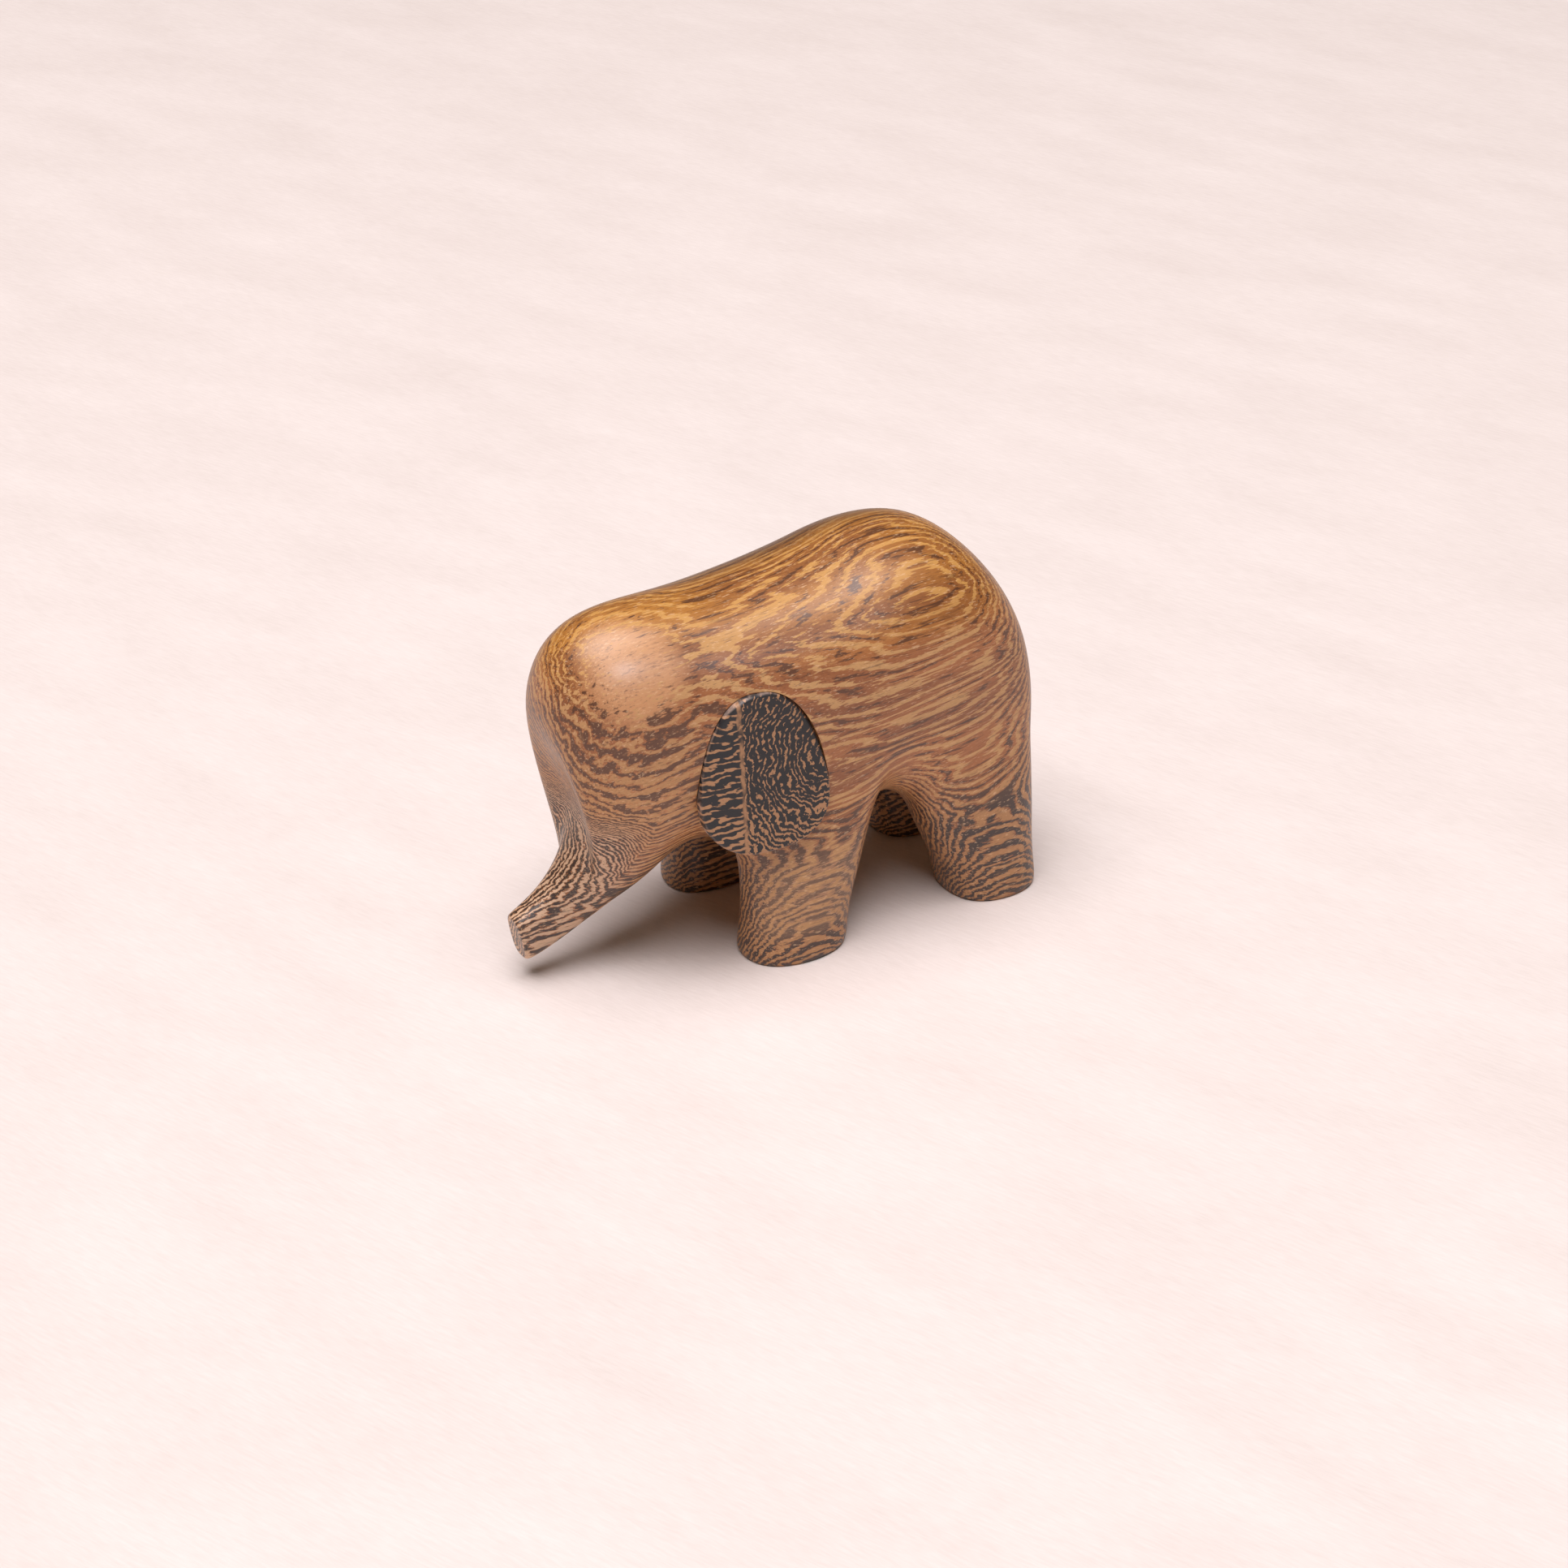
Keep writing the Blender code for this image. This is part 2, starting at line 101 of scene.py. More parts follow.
def body_sections():
    """One row a section: the X and Z of its top, those of its bottom, its half width and its squareness."""
    (rear_front, rear_back), (front_front, front_back) = REAR_LEG["thigh"], FRONT_LEG["thigh"]
    thigh, shoulder = (rear_front + rear_back) / 2, (front_front + front_back) / 2
    waist = (front_back + rear_front) / 2
    torso = [
        (RUMP_X - 0.8, 25.5, RUMP_X - 0.6, 13.0, FLANK - 11.0),
        (RUMP_X - 3.2, 17.0, RUMP_X - 1.6, 3.0, FLANK - 6.5),
        (RUMP_X - 7.5, 8.8, rear_back, 0.0, FLANK - 2.5),
        (thigh + 0.5, 2.2, thigh, 0.0, FLANK - 0.5),
        (rear_front + 5.5, 0.0, rear_front, 0.0, FLANK),
        (waist, 0.5, waist, 1.0, FLANK),
        (front_back - 3.0, 2.2, front_back, 0.0, FLANK),
        (shoulder - 1.0, 3.6, shoulder, 0.0, FLANK - 1.0),
        (front_front, 4.3, front_front, 0.0, CHEEK + 2.5),
    ]
    head = [
        (NECK_X - BROW_X, 3.3, 0.0, CHEEK + 0.7),
        (12.0, 3.0, 0.22, CHEEK),
        (3.8, 6.6, 0.34, CHEEK - 2.0),
        (0.0, 15.8, 0.43, CHEEK - 4.8),
        (3.0, 25.5, 0.50, CHEEK - 6.4),
        (6.6, 32.3, 0.585, CHEEK - 8.2),
    ]
    trunk = [
        (TRUNK_ROOT, 0.68, NOSE + 1.9, 2.4),
        (TRUNK_ROOT + (TIP_TOP - TRUNK_ROOT) * 0.2 - (0, 4.2), 0.795, NOSE + 1.0, 2.6),
        (TRUNK_ROOT + (TIP_TOP - TRUNK_ROOT) * 0.55 - (0, 4.2), 0.905, NOSE + 0.4, 2.9),
    ]
    rows = [(x, BACK - drop, low_x, BELLY + rise, half, 2.5) for x, drop, low_x, rise, half in torso]
    rows += [(BROW_X + x, BACK - drop, *underside(share), half, 2.25) for x, drop, share, half in head]
    rows += [(*top, *underside(share), half, square) for top, share, half, square in trunk]
    slope = (TIP_TOP - TIP_BOTTOM) / np.linalg.norm(TIP_TOP - TIP_BOTTOM)
    outward = np.array((-slope[1], slope[0]))
    for beyond, rim_highlight in ((-0.7, 0.0), (0.0, 0.3), (0.0, 0.8)):
        top, bottom = TIP_TOP + outward * beyond - slope * rim_highlight, TIP_BOTTOM + outward * beyond + slope * rim_highlight
        rows.append((*top, *bottom, NOSE - rim_highlight, 3.2))
    return np.array(rows)


def section_rings(sections):
    """Each section's cage points: middle + up * half height + out * half width, from the top round by -Y."""
    up, out = superellipse(np.arange(ROUND_BODY) * 2 * pi / ROUND_BODY, sections[:, 5:6])
    middle = (sections[:, None, 0:2] + sections[:, None, 2:4]) / 2
    half = (sections[:, None, 0:2] - sections[:, None, 2:4]) / 2 * cage_spread(ROUND_BODY)
    profile = middle + up[..., None] * half
    side = -out * sections[:, 4:5] * cage_spread(ROUND_BODY)
    return np.stack((profile[..., 0], side, profile[..., 1]), axis=-1)


def leg_rings(leg, side):
    """A leg's cage points: the foot's box, widened to the thigh's as (height / belly height) ** 1.5."""
    height = np.array((14.0, 7.0, 1.1, 0.0, 0.0))[:, None]
    drawn_in = np.array((0.7, 0.7, 0.0, 0.35, 0.95))[:, None]
    flare = (height / BELLY) ** 1.5
    front, back = (leg["foot"][i] + (leg["thigh"][i] - leg["foot"][i]) * flare for i in (0, 1))
    front, back = front + drawn_in, back - drawn_in
    inner, outer = leg["across"][0] + drawn_in, leg["across"][1] - drawn_in
    angle = pi / 4 - np.arange(ROUND_LEG) * 2 * pi / ROUND_LEG
    inner_corner, outer_corner = leg["corners"]
    along, out = superellipse(angle, np.where(np.sin(angle) > 0, outer_corner, inner_corner))
    spread = cage_spread(ROUND_LEG)
    x = (front + back) / 2 + along * (back - front) / 2 * spread
    y = side * ((inner + outer) / 2 + out * (outer - inner) / 2 * spread)
    return np.stack((x, y, np.broadcast_to(height, x.shape)), axis=-1)


def ring_band(upper, lower):
    """The four-sided faces between two closed loops of point numbers."""
    return np.stack((upper, np.roll(upper, -1), np.roll(lower, -1), lower), axis=-1)


def block_cage():
    """The loft's points and faces, with a leg's rings joined to the loop round each of its four sockets."""
    rings = section_rings(body_sections())
    count = len(rings)
    number = np.arange(count * ROUND_BODY).reshape(count, ROUND_BODY)
    skin = np.stack([ring_band(number[i], number[i + 1]) for i in range(count - 1)])
    solid = np.ones(skin.shape[:2], bool)
    points, faces, caps = [rings.reshape(-1, 3)], [], []
    start = count * ROUND_BODY
    for leg, first in ((FRONT_LEG, FRONT_SECTION), (REAR_LEG, REAR_SECTION)):
        for socket, side in ((LEFT_SOCKET, -1), (RIGHT_SOCKET, 1)):
            solid[first : first + 2, socket : socket + 2] = False
            outer, inner = (socket, socket + 2) if side < 0 else (socket + 2, socket)
            middle = socket + 1
            section = first + np.array((0, 0, 0, 1, 2, 2, 2, 1))
            place = np.array((outer, middle, inner, inner, inner, middle, outer, outer))
            loop = number[section, place]
            leg_points = leg_rings(leg, side)
            for ring in range(len(leg_points)):
                lower = start + np.arange(ROUND_LEG)
                faces.append(ring_band(loop, lower))
                loop, start = lower, start + ROUND_LEG
            points.append(leg_points.reshape(-1, 3))
            caps.append(loop.tolist())
    faces.append(skin[solid])
    half = np.arange(1, ROUND_BODY // 2 - 1)
    for ring in (number[0], number[-1]):
        faces.append(np.stack((ring[half], ring[half + 1], ring[-half - 1], ring[-half]), axis=-1))
        caps.append([ring[0], ring[1], ring[-1]])
        caps.append([ring[ROUND_BODY // 2 + i] for i in (-1, 0, 1)])
    return np.concatenate(points), np.concatenate(faces).tolist() + caps


def solid_mesh(name, points, faces):
    """A mesh from points in millimetres, without points that no face uses. Its faces are turned outward."""
    used, renumbered = np.unique(np.concatenate([np.array(face) for face in faces]), return_inverse=True)
    ends = np.cumsum([len(face) for face in faces])
    mesh = bpy.data.meshes.new(name)
    mesh.from_pydata(points[used] * MM, [], [part.tolist() for part in np.split(renumbered, ends[:-1])])
    turned = bmesh.new()
    turned.from_mesh(mesh)
    bmesh.ops.recalc_face_normals(turned, faces=turned.faces)
    turned.to_mesh(mesh)
    turned.free()
    return mesh


def add_piece(name, data):
    piece = bpy.data.objects.new(name, data)
    bpy.context.scene.collection.objects.link(piece)
    return piece


def finished(piece):
    """The piece's mesh with its modifiers applied."""
    bpy.context.view_layer.update()
    graph = bpy.context.evaluated_depsgraph_get()
    return bpy.data.meshes.new_from_object(piece.evaluated_get(graph))


block = add_piece("block", solid_mesh("block", *block_cage()))
rounding = block.modifiers.new("rounding", "SUBSURF")
rounding.levels = rounding.render_levels = 3

# ------------------------------------------------------------------------------------------------------
# The seats for the ears. Each is a flat-bottomed recess, cut into the side of the head and the shoulder to
# the outline of the ear's leaf, so that the ear can be glued in.

EAR_WIDTH, EAR_HEIGHT, EAR_THICKNESS = 21.4, 27.6, 3.9
EAR_TAPER, EAR_RAKE, EAR_CORNER, EAR_LEAN = 0.24, 0.05, 2.5, radians(7.0)
EAR_CENTRE_X, EAR_BELOW_MIDDLE = -8.75, 6.3
SEAT_FRONT, SEAT_REAR = CHEEK - 0.8, FLANK - 2.8
ROUND_SEAT = 160
GLUE_LINE = 0.12
INSIDE_FRAME = 0.01 * MM


def leaf_edge(angle, grow=0.0):
    """The ear's outline: a superellipse that narrows upwards by a share of its height, and leans forward."""
    across, up = superellipse(angle, EAR_CORNER)
    y = up * (EAR_HEIGHT / 2 + grow)
    return across * (EAR_WIDTH / 2 + grow) * (1 - EAR_TAPER * up) - EAR_RAKE * y, y


ear_centre = Vector((EAR_CENTRE_X, -(SEAT_FRONT + SEAT_REAR) / 2, (BACK + BELLY) / 2 - EAR_BELOW_MIDDLE))
ear_place = (
    Matrix.Translation(ear_centre)
    @ Matrix.Rotation(-atan2(SEAT_REAR - SEAT_FRONT, EAR_WIDTH), 4, "Z")
    @ Matrix.Rotation(pi / 2 - EAR_LEAN, 4, "X")
)


def on_side(points, side):
    """Points from the left ear's frame to the block's, and to the other side where side is 1."""
    moved = points @ np.array(ear_place.to_3x3()).T + np.array(ear_place.translation)
    return moved * (1, -side, 1)


for side, side_name in ((-1, "left"), (1, "right")):
    turn = np.arange(ROUND_SEAT) * 2 * pi / ROUND_SEAT
    rim_x, rim_y = leaf_edge(turn, GLUE_LINE)
    walls = np.stack([np.stack((rim_x, rim_y, np.full_like(turn, z)), axis=-1) for z in (0.0, FLANK)])
    lower, upper = np.arange(2 * ROUND_SEAT).reshape(2, ROUND_SEAT)
    faces = ring_band(lower, upper).tolist() + [lower.tolist(), upper.tolist()]
    recess = add_piece("seat_" + side_name, solid_mesh("seat", on_side(walls.reshape(-1, 3), side), faces))
    carve = block.modifiers.new(recess.name, "BOOLEAN")
    carve.operation, carve.solver, carve.object = "DIFFERENCE", "EXACT", recess

block.data = finished(block)
block.modifiers.clear()
for side_name in ("left", "right"):
    bpy.data.objects.remove(bpy.data.objects["seat_" + side_name])
place = np.empty(len(block.data.vertices) * 3)
block.data.vertices.foreach_get("co", place)
place = place.reshape(-1, 3)
low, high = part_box("body")
for axis in range(3):
    ends = (low[axis] + INSIDE_FRAME * (axis < 2), high[axis] - INSIDE_FRAME)
    place[:, axis] = np.interp(place[:, axis], (place[:, axis].min(), place[:, axis].max()), ends)
block.data.vertices.foreach_set("co", place.ravel())
block.data.shade_smooth()
block.data.set_sharp_from_angle(angle=radians(40))

# ------------------------------------------------------------------------------------------------------
# The block's wood. Its thin pale and dark layers are rings about an axis that lies beside the block, and
# they waver from fibre to fibre. The carved form cuts them into lenses and streaks on the flanks, fine lines
# on the back, and short feathers on the cheeks and legs.


class Term:
    """A value inside a material. Its operators add Math nodes, so that shader maths reads as Python."""

    def __init__(self, finish, socket):
        self.finish, self.socket = finish, socket

    def math(self, operation, *values):
        return self.finish.node("ShaderNodeMath", dict(operation=operation), dict(enumerate(values)))

    def __add__(self, other):
        return self.math("ADD", self, other)

    def __sub__(self, other):
        return self.math("SUBTRACT", self, other)

    def __rsub__(self, other):
        return self.math("SUBTRACT", other, self)

    def __mul__(self, other):
        return self.math("MULTIPLY", self, other)

    def __truediv__(self, other):
        return self.math("DIVIDE", self, other)

    def __pow__(self, other):
        return self.math("POWER", self, other)

    def __abs__(self):
        return self.math("ABSOLUTE", self)

    __radd__, __rmul__ = __add__, __mul__

    def sine(self):
        return self.math("SINE", self)

    def least(self, other):
        return self.math("MINIMUM", self, other)

    def most(self, other):
        return self.math("MAXIMUM", self, other)

    def held(self):
        """The value, held between 0 and 1."""
        return self.least(1.0).most(0.0)

    def rise(self, start, end):
        """0 below start and 1 above end, with a smooth S between. Where start is above end, it falls."""
        settings = dict(interpolation_type="SMOOTHSTEP", clamp=True)
        low, high = min(start, end), max(start, end)
        made = self.finish.node(
            "ShaderNodeMapRange", settings, {"Value": self, "From Min": low, "From Max": high}
        )
        return made if start < end else 1 - made


NOISE_SPREAD = 3.2


class Finish:
    """A material on a Principled shader, and the one method that adds any node to it."""

    def __init__(self, name):
        self.material = bpy.data.materials.new(name)
        self.material.use_nodes = True
        self.tree = self.material.node_tree
        self.shader = self.tree.nodes["Principled BSDF"]

    def node(self, kind, settings=None, inputs=None, output=0):
        made = self.tree.nodes.new(kind)
        for key, value in (settings or {}).items():
            setattr(made, key, value)
        for key, value in (inputs or {}).items():
            self.feed(made.inputs[key], value)
        return Term(self, made.outputs[output])

    def feed(self, socket, value):
        if isinstance(value, Term):
            self.tree.links.new(value.socket, socket)
        else:
            socket.default_value = value

    def surface(self, **values):
        for key, value in values.items():
            self.feed(self.shader.inputs[key.replace("_", " ").title()], value)

    def split(self, vector):
        apart = self.node("ShaderNodeSeparateXYZ", None, {0: vector})
        return [Term(self, socket) for socket in apart.socket.node.outputs]

    def join(self, x, y, z):
        return self.node("ShaderNodeCombineXYZ", None, {0: x, 1: y, 2: z})

    def millimetres(self):
        """The place on the object, in millimetres."""
        where = self.node("ShaderNodeTexCoord", None, None, "Object")
        return self.node("ShaderNodeVectorMath", dict(operation="SCALE"), {0: where, "Scale": 1 / MM})

    def cloud(self, place, grain, detail=2.0, roughness=0.5, seed=0.0):
        """A soft random field of about -1 to 1. Grain is its lumps' length, width and height in mm."""
        shrunk = self.node(
            "ShaderNodeVectorMath",
            dict(operation="MULTIPLY_ADD"),
            {0: place, 1: tuple(1 / size for size in grain), 2: (seed, seed * 1.7, seed * 2.3)},
        )
        inputs = {"Vector": shrunk, "Scale": 1.0, "Detail": detail, "Roughness": roughness}
        return (self.node("ShaderNodeTexNoise", None, inputs) - 0.5) * NOISE_SPREAD

    def mix(self, share, first, second):
        """First colour where share is 0, second where it is 1."""
        return self.node("ShaderNodeMix", dict(data_type="RGBA"), {0: share, 6: first, 7: second}, 2)

    def bump(self, height, strength, distance):
        inputs = {"Height": height, "Strength": strength, "Distance": distance}
        return self.node("ShaderNodeBump", None, inputs)


def paint(red, green, blue):
    """A colour from its display values of 0 to 255, as the linear numbers that a shader takes."""
    shares = np.array((red, green, blue)) / 255
    return (*np.where(shares < 0.04045, shares / 12.92, ((shares + 0.055) / 1.055) ** 2.4), 1.0)


def in_ear_frame(finish):
    """The place in the frame of the ear on its side: along the leaf, up it, and out from its seat."""
    x, y, z = finish.split(finish.millimetres())
    left = finish.join(x, abs(y) * -1, z)
    inputs = {"Vector": left, "Location": ear_place.translation, "Rotation": ear_place.to_euler()}
    return finish.node("ShaderNodeMapping", dict(vector_type="TEXTURE"), inputs)


def ear_distance(finish):
    """How far a place is from the middle of an ear: 0 there, 1 at the ear's edge, and more beyond."""
    along, up, _ = finish.split(in_ear_frame(finish))
    high = up / (EAR_HEIGHT / 2)
    wide = (along + up * EAR_RAKE) / ((1 - high * EAR_TAPER) * (EAR_WIDTH / 2))
    return (abs(wide) ** EAR_CORNER + abs(high) ** EAR_CORNER) ** (1 / EAR_CORNER)


RING_STEP = 0.98
HEART_Y, HEART_Z = 30.0, 18.0
GRAIN_SWING, GRAIN_DROP = 0.05, 0.16
LEG_DROP, HEAD_CUP = 0.35, 0.003
# The middle of the calm lens in the grain on the head top, which is also painted pale as a highlight.
CALM_HIGHLIGHT_X, CALM_HIGHLIGHT_Z = -28.0, 56.0


def block_regions(wood, fibre, drift):
    """How far a place lies in each region of the block, from 0 to 1, by the region's name."""
    x, y, z = wood.split(wood.millimetres())
    head = x.rise(-12.0, -24.0) * z.rise(22.0, 32.0)
    nose = x.rise(-26.0, -34.0) * z.rise(34.0, 26.0)
    waver = wood.cloud(fibre, (40.0, 11.0, 11.0), 2.0, 0.5, 11.0)
    from_calm_highlight = ((x - CALM_HIGHLIGHT_X) * (x - CALM_HIGHLIGHT_X) + (z - CALM_HIGHLIGHT_Z) * (z - CALM_HIGHLIGHT_Z)) ** 0.5
    leg_face = y.rise(-13.0, -18.5) * z.rise(3.0, 7.0) * z.rise(24.0, 16.0)
    return SimpleNamespace(
        head=head,
        nose=nose,
        low=(z + waver * 4).rise(30.0, 13.0).most(nose),
        # The calm patch on the head top is partly real, a smooth lens in the grain, and partly a painted
        # highlight: it is painted paler there.
        calm_and_highlight=(from_calm_highlight + drift * 2).rise(9.0, 3.0) * y.rise(3.0, -6.0),
        rump=x.rise(32.0, 45.0),
        # Painted sheen on the front legs' outer faces.
        shin_sheen=leg_face * x.rise(27.0, 15.0) * x.rise(-14.0, -8.0),
        gold=(z + drift * 2).rise(50.0, 60.0) * y.rise(14.0, 2.0),
        # Painted shade along the top of the far side.
        shaded_far_crest=y.rise(1.0, 9.5) * z.rise(44.0, 56.0),
        # Painted light under the head.
        lit_chin=head * z.rise(46.0, 32.0) * (1 - nose) * x.rise(-39.0, -31.0),
    )


def block_layers(wood, fibre, region, drift, swell):
    """The layers as an even wave, sine(2 pi * layer), and as a random field that follows them.

    Layer is the distance from the rings' axis over the step between rings. Clouds push it about. On the
    legs it falls with height, and on the head it grows with the square of X.
    """
    x, y, level = wood.split(fibre)
    height = wood.split(wood.millimetres())[2]
    ripple = wood.cloud(fibre, (24.0, 1.5, 1.5), 4.0, 0.66, 5.0)
    curl = wood.cloud(fibre, (3.4, 1.1, 1.1), 2.0, 0.5, 25.0)
    across, up = y + x * GRAIN_SWING - HEART_Y, level - HEART_Z
    depth = (across * across + up * up) ** 0.5 + drift + swell * 0.8
    depth = depth - height * region.low * LEG_DROP + x * x * region.head * HEAD_CUP
    layer = depth / RING_STEP + ripple * 0.5 + curl * (region.head * 0.36 + region.low * 0.28 + 0.05)
    sheets = wood.join(x / 26, level / 3.0, layer * 0.7)
    return (layer * 2 * pi).sine(), wood.cloud(sheets, (1.0, 1.0, 1.0), 3.0, 0.62, 21.0)


def block_colours(wood, fibre, region, swell, heart):
    """The wood's middle brown, pale lines and dark lines by region, with painted light on the head, trunk
    and front legs.
    """
    middle = wood.mix(region.gold, paint(177, 109, 60), paint(180, 118, 48))
    middle = wood.mix((swell + 0.5).held() * 0.7, middle, paint(134, 76, 40))
    middle = wood.mix(region.low * 0.3, middle, paint(148, 104, 76))
    # Painted highlight on the head top, over the calm lens in the grain.
    middle = wood.mix(region.calm_and_highlight * 0.85, middle, paint(216, 158, 110))
    # Painted light: the lower head is lightened as if lit from the floor below.
    middle = wood.mix(region.lit_chin * 0.8, middle, paint(208, 144, 90))
    # Painted sheen: the front legs' outer faces are painted paler and greyer.
    middle = wood.mix(region.shin_sheen * 0.7, middle, paint(180, 138, 104))
    cream = wood.mix(region.gold, paint(216, 168, 110), paint(212, 156, 80))
    cream = wood.mix(heart, cream, paint(194, 142, 92))
    # Painted sheen: the pale lines on the trunk are painted lighter and greyer.
    cream = wood.mix(region.nose, cream, paint(228, 192, 160))
    z = wood.split(wood.millimetres())[2]
    patches = wood.cloud(fibre, (30.0, 4.0, 4.0), 1.0, 0.5, 29.0).rise(0.1, 0.8) * z.rise(46.0, 30.0)
    slate = (region.low + patches * 0.7).least(1.0)
    return middle, cream, wood.mix(slate, paint(92, 55, 34), paint(40, 37, 38))


def block_wood():
    """Pale and dark lines on a middle brown, where the layers' waves and the fibres' streaks pass a limit.

    Most clouds are many times longer than they are wide, because fibres run the length of the block. A face
    cut along them shows streaks, and a face cut across them shows short waves and dots.
    """
    wood = Finish("figured_wood")
    place = wood.millimetres()
    x, y, z = wood.split(place)
    level = z - x * (z.rise(10.0, 26.0) * z.rise(56.0, 36.0) * GRAIN_DROP)
    fibre = wood.join(x, y - x * GRAIN_SWING, level)
    drift = wood.cloud(fibre, (90.0, 20.0, 20.0), 1.0, 0.5, 7.0)
    swell = wood.cloud(fibre, (40.0, 5.0, 5.0), 1.0, 0.5, 3.0)
    frayed = wood.cloud(fibre, (11.0, 0.5, 0.5), 3.0, 0.65, 9.0)
    streak = wood.cloud(fibre, (17.0, 0.9, 0.9), 3.0, 0.62, 27.0)
    region = block_regions(wood, fibre, drift)
    regular, uneven = block_layers(wood, fibre, region, drift, swell)

    heart = region.low * (0.95 - region.shin_sheen * 0.3) + region.head * z.rise(58.0, 46.0) * 0.62
    heart = (heart + region.rump * 0.4 + uneven * 0.1 + 0.08).held()
    band = (regular * 0.42 + uneven * 0.42) * (1 - region.calm_and_highlight * 0.6) + frayed * 0.3
    pale = (band + heart * 0.08 - region.gold * 0.04).rise(0.18, 0.28)
    dark = (heart * 0.42 - region.nose * 0.07 - band).rise(0.38, 0.50)
    dark = dark.most(streak.rise(0.35, 0.7) * 0.6) * (1 - region.shin_sheen * 0.4)

    middle, cream, deep = block_colours(wood, fibre, region, swell, heart)
    colour = wood.mix(pale * 0.8, middle, cream)
    colour = wood.mix(dark * 0.9, colour, deep)
    colour = wood.mix(frayed.rise(0.15, 0.9) * 0.4, colour, cream)
    shadow = wood.mix(region.gold, deep, paint(104, 62, 30))
    colour = wood.mix(frayed.rise(-0.1, -0.8) * 0.5, colour, shadow)

    speck = wood.cloud(fibre, (1.5, 0.26, 0.26), 2.0, 0.65, 15.0)
    colour = wood.mix(speck.rise(0.2, 0.7) * 0.6, colour, paint(230, 188, 146))
    colour = wood.mix(speck.rise(-0.25, -0.8) * 0.5, colour, paint(62, 38, 26))
    pores = wood.cloud(fibre, (3.0, 0.4, 0.4), 1.0, 0.5, 19.0).rise(0.95, 1.1)
    colour = wood.mix(pores * 0.7, colour, paint(40, 26, 20))
    # Painted shade: the top of the far side is darkened where it turns from the light.
    colour = wood.mix(region.shaded_far_crest * 0.7, colour, paint(66, 46, 34))

    near_ear = ear_distance(wood).rise(1.35, 1.02)
    scuffs = wood.cloud(place, (0.5, 0.5, 5.0), 2.0, 0.6, 13.0).rise(0.62, 0.9)
    hatch = wood.cloud(place, (0.35, 0.8, 3.2), 2.0, 0.6, 17.0).rise(0.55, 0.85)
    colour = wood.mix(scuffs.most(hatch) * near_ear * 0.45, colour, paint(232, 202, 176))

    relief = band * 0.35 + frayed * 0.3 + pores * -1.2
    normal = wood.bump(relief, 0.35, 0.06 * MM)
    wood.surface(base_color=colour, roughness=0.45 + pale * 0.1 - dark * 0.06, normal=normal)
    wood.surface(coat_weight=0.3, coat_roughness=0.3)
    return wood.material


block.data.materials.clear()
block.data.materials.append(block_wood())
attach(block, "root")
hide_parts("body")

# ------------------------------------------------------------------------------------------------------
# The ears. Each is a leaf of near-black wood with a tan network, sawn flat at the back, glued into its seat
# and then shaved to two facets that fall away from an upright ridge. Its rim is worn round, and painted pale
# as a highlight.

EAR_RIDGE = -4.3
FRONT_FALL, REAR_FALL = tan(radians(15.0)), tan(radians(8.0))
EAR_RIM, RIDGE_ROUND = 0.6, 0.25
RINGS_IN, RINGS_RIM, RINGS_DOWN, ROUND_EAR = 30, 14, 8, 224
RIM_SHARE = 0.9
LEAF_HEART_ALONG, LEAF_HEART_UP, LEAF_STEP, BAR_STEP = 11.0, 1.5, 0.95, 1.3


def leaf_grid():
    """Rings of the outline, shrunk to the middle. Height is the roof, less |x - ridge| * slope and the rim.

    Within a radius r of the edge, the face drops along a quarter circle: r - sqrt(r^2 - (r - distance)^2).
    """
    inner, rim = np.linspace(0, RIM_SHARE, RINGS_IN), np.linspace(RIM_SHARE, 1, RINGS_RIM + 1)[1:]
    share = np.concatenate((inner, rim))[:, None]
    rim_x, rim_y = leaf_edge(np.arange(ROUND_EAR) * 2 * pi / ROUND_EAR)
    x, y = share * rim_x, share * rim_y
    inside = (1 - share) * np.hypot(rim_x, rim_y)
    run = x - EAR_RIDGE
    soft_run = np.sqrt(run**2 + RIDGE_ROUND) - RIDGE_ROUND
    roof = EAR_THICKNESS - soft_run * np.where(run > 0, REAR_FALL, FRONT_FALL)
    over = np.clip(EAR_RIM - inside, 0, EAR_RIM)
    face = roof - (EAR_RIM - np.sqrt(EAR_RIM**2 - over**2))
    drop = np.linspace(1, 0, RINGS_DOWN + 1)[1:, None]
    wall = face[-1] * drop
    grid = np.stack((x, y, face), axis=-1)
    side = np.stack((np.broadcast_to(rim_x, wall.shape), np.broadcast_to(rim_y, wall.shape), wall), axis=-1)
    return np.concatenate((grid[1:], side)), grid[0, 0]


def leaf_mesh(name, side):
    rings, crown = leaf_grid()
    count = len(rings)
    number = np.arange(count * ROUND_EAR).reshape(count, ROUND_EAR)
    faces = np.concatenate([ring_band(number[i], number[i + 1]) for i in range(count - 1)]).tolist()
    faces += [[count * ROUND_EAR, a, b] for a, b in zip(number[0], np.roll(number[0], -1))]
    faces.append(number[-1].tolist())
    points = np.concatenate((rings.reshape(-1, 3), [crown])) + (0, 0, GLUE_LINE)
    mesh = solid_mesh(name, on_side(points, side), faces)
    mesh.shade_smooth()
    mesh.set_sharp_from_angle(angle=radians(50))
    return mesh


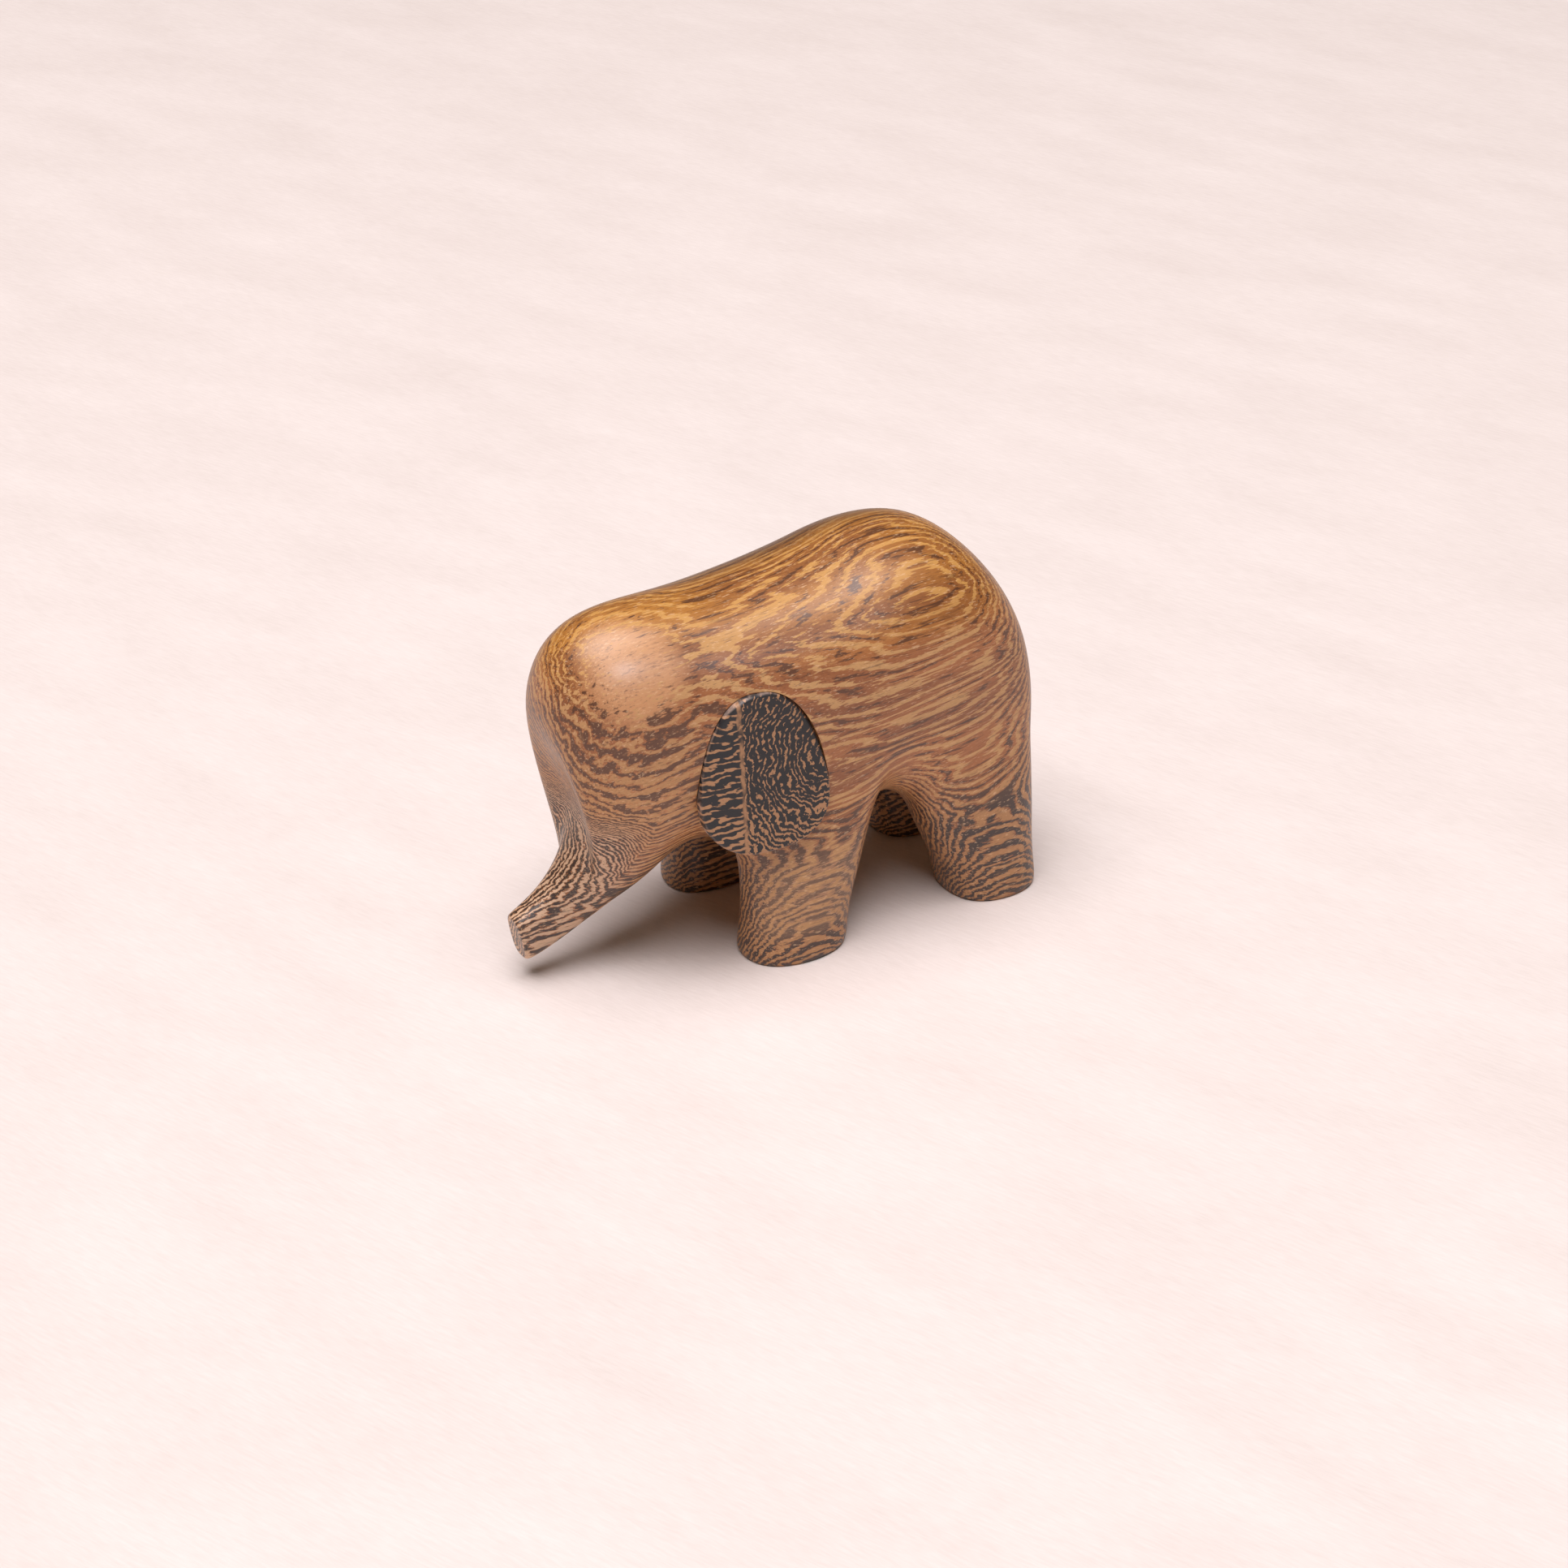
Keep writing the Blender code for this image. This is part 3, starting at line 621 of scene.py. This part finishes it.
def rear_facet(wood, place, lighter, seed):
    """The tan net behind the ridge: sine(2 pi * distance from the leaf's heart / step), above a limit."""
    along, up, _ = wood.split(place)
    wander = wood.cloud(place, (4.0, 4.0, 6.0), 1.0, 0.5, seed)
    zigzag = wood.cloud(place, (0.8, 1.0, 3.0), 2.0, 0.55, seed + 4)
    merge = wood.cloud(place, (0.75, 0.75, 3.0), 2.0, 0.5, seed + 8)
    run, climb = along - LEAF_HEART_ALONG, (up - LEAF_HEART_UP) * 0.85
    ring = (run * run + climb * climb) ** 0.5
    band = ((ring / LEAF_STEP + wander * 1.3 + zigzag * 0.46) * 2 * pi).sine()
    return (band * 0.68 + merge * 0.85 - (0.38 - lighter * 0.36)).rise(0.0, 0.3)


def front_facet(wood, place, lighter, seed):
    """Short tan bars before the ridge: sine(2 pi * (up, less a little of along) / step), above a limit."""
    along, up, _ = wood.split(place)
    sway = wood.cloud(place, (4.0, 1.8, 4.0), 2.0, 0.6, seed)
    patch = wood.cloud(place, (1.3, 0.6, 3.0), 2.0, 0.5, seed + 2)
    bars = (((up - along * 0.16) / BAR_STEP + sway * 0.75) * 2 * pi).sine()
    return (bars * 0.7 + patch * 0.9 - 0.24 + lighter * 0.3).rise(0.0, 0.35)


def ear_wood(side, side_name):
    """Near-black layers parted by a tan network, with a patchy tan line along the ridge and a painted
    highlight on the rim.
    """
    wood = Finish("ear_wood_" + side_name)
    seed = 2.0 + side
    place = in_ear_frame(wood)
    along, up, _ = wood.split(place)
    lighter = (up * -1).rise(2.0, 12.0)
    past_ridge = along - EAR_RIDGE
    wobble = wood.cloud(place, (2.0, 2.0, 2.0), 1.0, 0.5, seed + 16)
    front = (past_ridge + wobble * 0.4).rise(0.3, -0.5)
    net = rear_facet(wood, place, lighter, seed) * (1 - front)
    net = net + front_facet(wood, place, lighter, seed + 12) * front
    patchy = wood.cloud(place, (2.0, 3.0, 2.0), 2.0, 0.5, seed + 17).rise(-0.7, 0.3)
    waver = wood.cloud(place, (2.0, 1.6, 2.0), 2.0, 0.5, seed + 18)
    ridge = abs(past_ridge + waver * 0.35).rise(0.5, 0.15)
    net = net.most(ridge * patchy * 0.9)

    colour = wood.mix(net, paint(38, 37, 40), paint(184, 136, 98))
    # Painted highlight: the worn rim is painted pale in patches.
    rim_patches = wood.cloud(place, (1.6, 1.6, 1.6), 2.0, 0.6, seed + 20).rise(-0.5, 0.5)
    rim_highlight = ear_distance(wood).rise(0.97, 1.0) * rim_patches
    colour = wood.mix(rim_highlight * 0.5, colour, paint(206, 176, 160))
    fine = wood.cloud(place, (0.35, 0.35, 0.35), 2.0, 0.6, seed + 22)
    normal = wood.bump(net * 0.5 + fine * 0.3, 0.3, 0.06 * MM)
    wood.surface(base_color=colour, roughness=0.46 + net * 0.1 + fine * 0.04, normal=normal)
    return wood.material


for side, side_name in ((-1, "left"), (1, "right")):
    ear = add_piece("leaf_" + side_name, leaf_mesh("leaf_" + side_name, side))
    ear.data.materials.append(ear_wood(side, side_name))
    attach(ear, "root")
    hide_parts("ear_" + side_name)

# ------------------------------------------------------------------------------------------------------
# The studio: a flat pale floor with a faint grain, one broad soft light far overhead, and a little warm
# light all round. A small cool light adds only the sheen on the head.

FLOOR_REACH = 3.0
floor_mesh = bpy.data.meshes.new("floor")
corners = np.array(((-1, -1, 0), (1, -1, 0), (1, 1, 0), (-1, 1, 0))) * FLOOR_REACH
floor_mesh.from_pydata(corners, [], [(0, 1, 2, 3)])
floor = add_piece("floor", floor_mesh)
board = Finish("pale_board")
turned = board.node(
    "ShaderNodeMapping", None, {"Vector": board.millimetres(), "Rotation": (0, 0, radians(-24))}
)
grain = board.cloud(turned, (0.5, 4.0, 1.0), 3.0, 0.65)
mottle = board.cloud(turned, (14.0, 40.0, 1.0), 3.0, 0.6, 4.0)
shade = (grain * 0.26 + mottle * 0.22 + 0.5).held()
board_colour = board.mix(shade, paint(220, 206, 200), paint(243, 231, 227))
board.surface(base_color=board_colour, roughness=0.7)
floor_mesh.materials.append(board.material)

world = bpy.data.worlds.new("studio")
bpy.context.scene.world = world
world.use_nodes = True
surround = world.node_tree.nodes["Background"].inputs
surround["Color"].default_value = (1.0, 0.82, 0.5, 1.0)
surround["Strength"].default_value = 0.07


def soft_light(name, place, target, size, power, colour):
    """A square area light that faces its target."""
    data = bpy.data.lights.new(name, "AREA")
    data.size, data.energy, data.color = size, power, colour
    lamp = add_piece(name, data)
    lamp.location = place
    lamp.rotation_mode = "QUATERNION"
    lamp.rotation_quaternion = (Vector(target) - Vector(place)).to_track_quat("-Z", "Y")
    return lamp


middle = (cad_low + cad_high) / 2
soft_light("overhead", (-0.36, -0.2, 2.5), middle, 2.1, 95.0, (1.0, 0.972, 0.99))
shine = soft_light("shine", (-0.08, -0.74, 0.62), middle, 0.17, 4.0, (0.76, 0.87, 1.0))
shine.visible_diffuse = False

# The camera looks down at the left side, from in front of the head.
CAMERA_AZIMUTH, CAMERA_ELEVATION, CAMERA_DISTANCE = radians(-30.5), radians(30.2), 0.616
CAMERA_TARGET = Vector((3.5, -1.8, 23.1)) * MM
lens = bpy.data.cameras.new("camera")
lens.lens, lens.sensor_width, lens.clip_start = 85.0, 36.0, 0.01
camera = add_piece("camera", lens)
back_to = Vector(
    (
        sin(CAMERA_AZIMUTH) * cos(CAMERA_ELEVATION),
        -cos(CAMERA_AZIMUTH) * cos(CAMERA_ELEVATION),
        sin(CAMERA_ELEVATION),
    )
)
camera.location = CAMERA_TARGET + back_to * CAMERA_DISTANCE
camera.rotation_mode = "QUATERNION"
camera.rotation_quaternion = (-back_to).to_track_quat("-Z", "Y")
bpy.context.scene.camera = camera
bpy.context.scene.view_settings.view_transform = "Standard"
